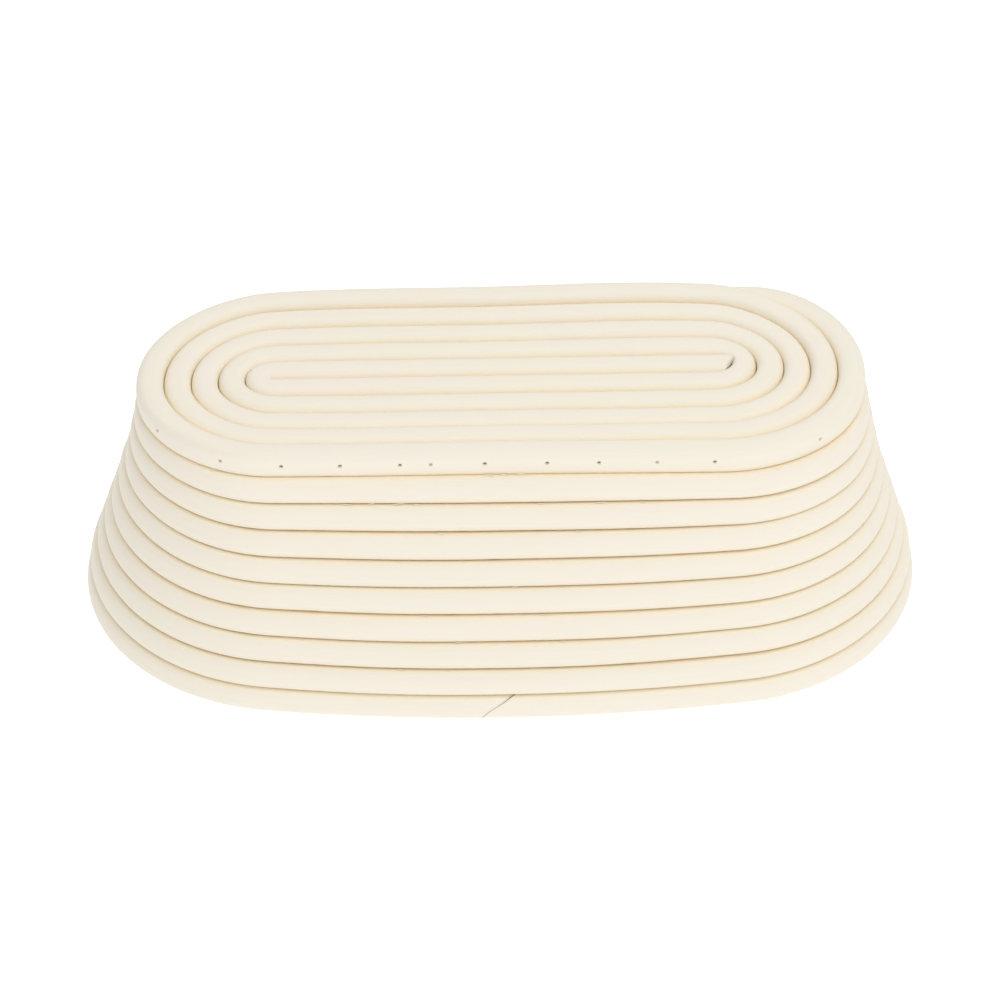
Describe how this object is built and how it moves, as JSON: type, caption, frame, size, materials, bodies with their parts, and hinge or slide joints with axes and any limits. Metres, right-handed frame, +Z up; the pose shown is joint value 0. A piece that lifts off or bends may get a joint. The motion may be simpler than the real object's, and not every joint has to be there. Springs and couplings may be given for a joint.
{
  "type": "proofing basket",
  "caption": "Oval bread proofing basket of coiled rattan cane with a flat spiral base, flared stepped wall and scarfed rim, standing upside down on its rim.",
  "frame": {"origin": "on the table under the middle of the rim, with the basket upside down", "axes": "+X along the basket, +Y to the back, +Z up from the rim to the base"},
  "size_m": [0.2894, 0.155, 0.0918],
  "materials": {
    "cane": "bare peeled rattan core, pale cream, matt with a faint sheen and fine lengthwise grain",
    "pin_steel": "plain drawn steel wire, a little dulled"
  },
  "bodies": {
    "root": {"base_cane": "cane", "upper_wall_cane": "cane", "lower_wall_cane": "cane", "rim_cane": "cane", "edge_pin_1": "pin_steel", "edge_pin_2": "pin_steel", "edge_pin_3": "pin_steel", "edge_pin_4": "pin_steel", "edge_pin_5": "pin_steel", "edge_pin_6": "pin_steel", "edge_pin_7": "pin_steel", "edge_pin_8": "pin_steel", "edge_pin_9": "pin_steel", "edge_pin_10": "pin_steel", "edge_pin_11": "pin_steel", "edge_pin_12": "pin_steel", "edge_pin_13": "pin_steel", "edge_pin_14": "pin_steel", "edge_pin_15": "pin_steel", "edge_pin_16": "pin_steel", "edge_pin_17": "pin_steel", "edge_pin_18": "pin_steel", "edge_pin_19": "pin_steel", "edge_pin_20": "pin_steel", "edge_pin_21": "pin_steel", "edge_pin_22": "pin_steel", "edge_pin_23": "pin_steel", "edge_pin_24": "pin_steel", "wall_pin_1_front": "pin_steel", "wall_pin_1_back": "pin_steel", "wall_pin_2_front": "pin_steel", "wall_pin_2_back": "pin_steel", "wall_pin_3_front": "pin_steel", "wall_pin_3_back": "pin_steel", "wall_pin_4_front": "pin_steel", "wall_pin_4_back": "pin_steel", "wall_pin_5_front": "pin_steel", "wall_pin_5_back": "pin_steel", "wall_pin_6_front": "pin_steel", "wall_pin_6_back": "pin_steel", "wall_pin_7_front": "pin_steel", "wall_pin_7_back": "pin_steel", "wall_pin_8_front": "pin_steel", "wall_pin_8_back": "pin_steel", "rim_pin_1": "pin_steel", "rim_pin_2": "pin_steel", "rim_pin_3": "pin_steel", "rim_pin_4": "pin_steel", "rim_pin_5": "pin_steel", "rim_pin_6": "pin_steel"}
  },
  "joints": []
}
